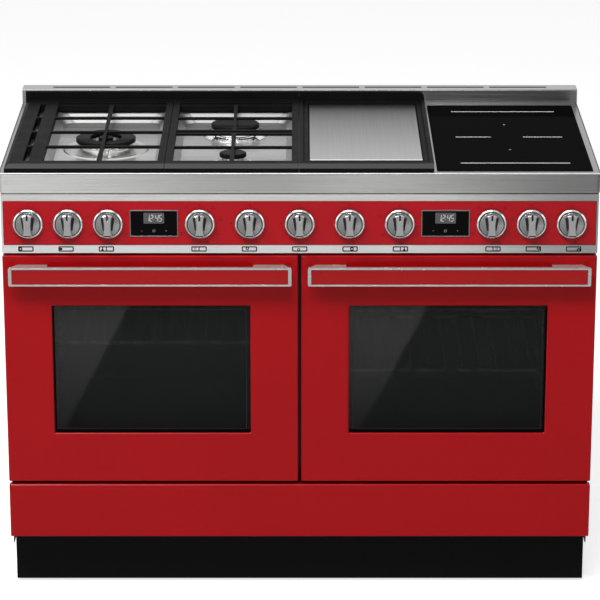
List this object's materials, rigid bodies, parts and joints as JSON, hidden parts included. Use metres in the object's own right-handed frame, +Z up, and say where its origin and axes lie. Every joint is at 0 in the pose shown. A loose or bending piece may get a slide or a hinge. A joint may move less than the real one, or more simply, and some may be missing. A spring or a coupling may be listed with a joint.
{
  "type": "dual fuel range cooker",
  "caption": "Full width range cooker with gas burners, griddle and induction plate over side by side ovens with drop down doors and a storage drawer.",
  "frame": {"origin": "on the floor, under the middle of the box that holds the whole cooker", "axes": "+X to the right seen from the front, +Y to the wall behind, +Z up"},
  "size_m": [1.2, 0.626, 0.934],
  "materials": {
    "galvanised": "dull zinc coated sheet",
    "zinc": "bright zinc plated steel",
    "side_paint": "satin black paint",
    "plinth_paint": "matt black paint",
    "frame_enamel": "glossy dark grey vitreous enamel",
    "hob_steel": "satin brushed stainless steel",
    "ceramic_glass": "glossy black glass ceramic",
    "cast_iron": "matt black enamelled cast iron",
    "griddle_steel": "brushed steel, grain along the depth",
    "burner_aluminium": "satin cast aluminium",
    "cap_enamel": "matt black enamel",
    "fascia_steel": "satin brushed stainless steel",
    "fascia_red": "glossy red enamel",
    "display_glass": "glossy black glass",
    "knob_metal": "polished and satin chromed metal",
    "sleeve_brass": "turned brass",
    "seal_rubber": "matt black silicone",
    "wire_chrome": "chromed wire",
    "element_steel": "dark heat toned steel",
    "fan_steel": "aluminised steel sheet",
    "door_red": "glossy red enamel",
    "door_glass": "dark tinted glass with a black border",
    "inner_glass": "clear heat reflecting glass",
    "handle_chrome": "polished chrome",
    "handle_red": "satin red enamel",
    "drawer_red": "glossy red enamel"
  },
  "bodies": {
    "cooker": {"base_frame": "galvanised", "levelling_feet": "zinc", "outer_panels": "side_paint", "plinth": "plinth_paint", "front_frame": "frame_enamel", "hinge_brackets": "zinc", "worktop": "hob_steel", "upstand": "hob_steel", "induction_glass": "ceramic_glass", "induction_module": "galvanised", "burner_bases": "burner_aluminium", "control_fascia": "fascia_steel", "fascia_insert": "fascia_red", "display_modules": "display_glass", "gas_rail": "zinc", "oven_liner_left": "frame_enamel", "oven_liner_right": "frame_enamel", "door_seals": "seal_rubber", "shelf_ladders": "wire_chrome", "heating_elements": "element_steel", "fan_covers": "frame_enamel", "drawer_runners": "zinc"},
    "door_left": {"door_left_panel": "door_red", "door_left_glass_outer": "door_glass", "door_left_glass_inner": "inner_glass", "door_left_handle_frame": "handle_chrome", "door_left_handle_insert": "handle_red"},
    "door_right": {"door_right_panel": "door_red", "door_right_glass_outer": "door_glass", "door_right_glass_inner": "inner_glass", "door_right_handle_frame": "handle_chrome", "door_right_handle_insert": "handle_red"},
    "shelf_left": {"wire_shelf_left": "wire_chrome"},
    "shelf_right": {"wire_shelf_right": "wire_chrome"},
    "fan_left": {"convection_fan_left": "fan_steel"},
    "fan_right": {"convection_fan_right": "fan_steel"},
    "drawer": {"drawer_front": "drawer_red", "drawer_box": "galvanised"},
    "tap_wok_outer": {"tap_sleeve_wok_outer": "sleeve_brass"},
    "knob_wok_outer": {"knob_wok_outer": "knob_metal"},
    "tap_wok_inner": {"tap_sleeve_wok_inner": "sleeve_brass"},
    "knob_wok_inner": {"knob_wok_inner": "knob_metal"},
    "tap_rapid_burner": {"tap_sleeve_rapid_burner": "sleeve_brass"},
    "knob_rapid_burner": {"knob_rapid_burner": "knob_metal"},
    "tap_auxiliary_burner": {"tap_sleeve_auxiliary_burner": "sleeve_brass"},
    "knob_auxiliary_burner": {"knob_auxiliary_burner": "knob_metal"},
    "knob_left_oven_thermostat": {"knob_left_oven_thermostat": "knob_metal"},
    "knob_left_oven_function": {"knob_left_oven_function": "knob_metal"},
    "knob_griddle": {"knob_griddle": "knob_metal"},
    "knob_right_oven_thermostat": {"knob_right_oven_thermostat": "knob_metal"},
    "knob_right_oven_function": {"knob_right_oven_function": "knob_metal"},
    "knob_induction_rear": {"knob_induction_rear": "knob_metal"},
    "knob_induction_front": {"knob_induction_front": "knob_metal"},
    "support_left": {"pan_support_left": "cast_iron"},
    "support_centre": {"pan_support_centre": "cast_iron"},
    "cap_wok": {"burner_cap_wok": "cap_enamel"},
    "cap_rapid": {"burner_cap_rapid": "cap_enamel"},
    "cap_auxiliary": {"burner_cap_auxiliary": "cap_enamel"},
    "griddle": {"griddle_frame": "cast_iron"},
    "griddle_plate": {"griddle_plate": "griddle_steel"}
  },
  "joints": [
    {"name": "door_left_hinge", "type": "hinge", "parent": "cooker", "child": "door_left", "pos_m": [-0.3005, -0.267, 0.268], "axis": [1, 0, 0], "range_deg": [0, 90]},
    {"name": "door_right_hinge", "type": "hinge", "parent": "cooker", "child": "door_right", "pos_m": [0.3005, -0.267, 0.268], "axis": [1, 0, 0], "range_deg": [0, 90]},
    {"name": "shelf_left_slide", "type": "slide", "parent": "cooker", "child": "shelf_left", "axis": [0, -1, 0], "range_m": [0, 0.3]},
    {"name": "shelf_right_slide", "type": "slide", "parent": "cooker", "child": "shelf_right", "axis": [0, -1, 0], "range_m": [0, 0.3]},
    {"name": "fan_left_spin", "type": "hinge", "parent": "cooker", "child": "fan_left", "pos_m": [-0.3005, 0.175, 0.479], "axis": [0, 1, 0], "continuous": true},
    {"name": "fan_right_spin", "type": "hinge", "parent": "cooker", "child": "fan_right", "pos_m": [0.3005, 0.175, 0.479], "axis": [0, 1, 0], "continuous": true},
    {"name": "drawer_slide", "type": "slide", "parent": "cooker", "child": "drawer", "axis": [0, -1, 0], "range_m": [0, 0.34]},
    {"name": "tap_wok_outer_push", "type": "slide", "parent": "cooker", "child": "tap_wok_outer", "axis": [0, 1, 0], "range_m": [0, 0.003], "stiffness_N_per_m": 3000},
    {"name": "knob_wok_outer_turn", "type": "hinge", "parent": "tap_wok_outer", "child": "knob_wok_outer", "pos_m": [-0.544, -0.285, 0.796], "axis": [0, -1, 0], "range_deg": [0, 210]},
    {"name": "tap_wok_inner_push", "type": "slide", "parent": "cooker", "child": "tap_wok_inner", "axis": [0, 1, 0], "range_m": [0, 0.003], "stiffness_N_per_m": 3000},
    {"name": "knob_wok_inner_turn", "type": "hinge", "parent": "tap_wok_inner", "child": "knob_wok_inner", "pos_m": [-0.464, -0.285, 0.796], "axis": [0, -1, 0], "range_deg": [0, 210]},
    {"name": "tap_rapid_burner_push", "type": "slide", "parent": "cooker", "child": "tap_rapid_burner", "axis": [0, 1, 0], "range_m": [0, 0.003], "stiffness_N_per_m": 3000},
    {"name": "knob_rapid_burner_turn", "type": "hinge", "parent": "tap_rapid_burner", "child": "knob_rapid_burner", "pos_m": [-0.1, -0.285, 0.796], "axis": [0, -1, 0], "range_deg": [0, 210]},
    {"name": "tap_auxiliary_burner_push", "type": "slide", "parent": "cooker", "child": "tap_auxiliary_burner", "axis": [0, 1, 0], "range_m": [0, 0.003], "stiffness_N_per_m": 3000},
    {"name": "knob_auxiliary_burner_turn", "type": "hinge", "parent": "tap_auxiliary_burner", "child": "knob_auxiliary_burner", "pos_m": [0, -0.285, 0.796], "axis": [0, -1, 0], "range_deg": [0, 210]},
    {"name": "knob_left_oven_thermostat_turn", "type": "hinge", "parent": "cooker", "child": "knob_left_oven_thermostat", "pos_m": [-0.384, -0.285, 0.796], "axis": [0, 1, 0], "range_deg": [0, 300]},
    {"name": "knob_left_oven_function_turn", "type": "hinge", "parent": "cooker", "child": "knob_left_oven_function", "pos_m": [-0.2, -0.285, 0.796], "axis": [0, 1, 0], "continuous": true},
    {"name": "knob_griddle_turn", "type": "hinge", "parent": "cooker", "child": "knob_griddle", "pos_m": [0.1, -0.285, 0.796], "axis": [0, 1, 0], "range_deg": [0, 270]},
    {"name": "knob_right_oven_thermostat_turn", "type": "hinge", "parent": "cooker", "child": "knob_right_oven_thermostat", "pos_m": [0.2, -0.285, 0.796], "axis": [0, 1, 0], "range_deg": [0, 300]},
    {"name": "knob_right_oven_function_turn", "type": "hinge", "parent": "cooker", "child": "knob_right_oven_function", "pos_m": [0.384, -0.285, 0.796], "axis": [0, 1, 0], "continuous": true},
    {"name": "knob_induction_rear_turn", "type": "hinge", "parent": "cooker", "child": "knob_induction_rear", "pos_m": [0.464, -0.285, 0.796], "axis": [0, 1, 0], "range_deg": [0, 300]},
    {"name": "knob_induction_front_turn", "type": "hinge", "parent": "cooker", "child": "knob_induction_front", "pos_m": [0.544, -0.285, 0.796], "axis": [0, 1, 0], "range_deg": [0, 300]},
    {"name": "support_left_lift", "type": "slide", "parent": "cooker", "child": "support_left", "axis": [0, 0, 1], "range_m": [0, 0.16]},
    {"name": "support_centre_lift", "type": "slide", "parent": "cooker", "child": "support_centre", "axis": [0, 0, 1], "range_m": [0, 0.16]},
    {"name": "cap_wok_lift", "type": "slide", "parent": "cooker", "child": "cap_wok", "axis": [0, 0, 1], "range_m": [0, 0.08]},
    {"name": "cap_rapid_lift", "type": "slide", "parent": "cooker", "child": "cap_rapid", "axis": [0, 0, 1], "range_m": [0, 0.08]},
    {"name": "cap_auxiliary_lift", "type": "slide", "parent": "cooker", "child": "cap_auxiliary", "axis": [0, 0, 1], "range_m": [0, 0.08]},
    {"name": "griddle_lift", "type": "slide", "parent": "cooker", "child": "griddle", "axis": [0, 0, 1], "range_m": [0, 0.16]},
    {"name": "griddle_plate_lift", "type": "slide", "parent": "griddle", "child": "griddle_plate", "axis": [0, 0, 1], "range_m": [0, 0.08]}
  ],
  "couplings": [
    {"joint": "shelf_left_slide", "follows": "door_left_hinge", "m_per_rad": 0.19},
    {"joint": "shelf_right_slide", "follows": "door_right_hinge", "m_per_rad": 0.19},
    {"joint": "cap_wok_lift", "follows": "support_left_lift", "ratio": 0.5},
    {"joint": "cap_rapid_lift", "follows": "support_centre_lift", "ratio": 0.5},
    {"joint": "cap_auxiliary_lift", "follows": "support_centre_lift", "ratio": 0.5}
  ]
}
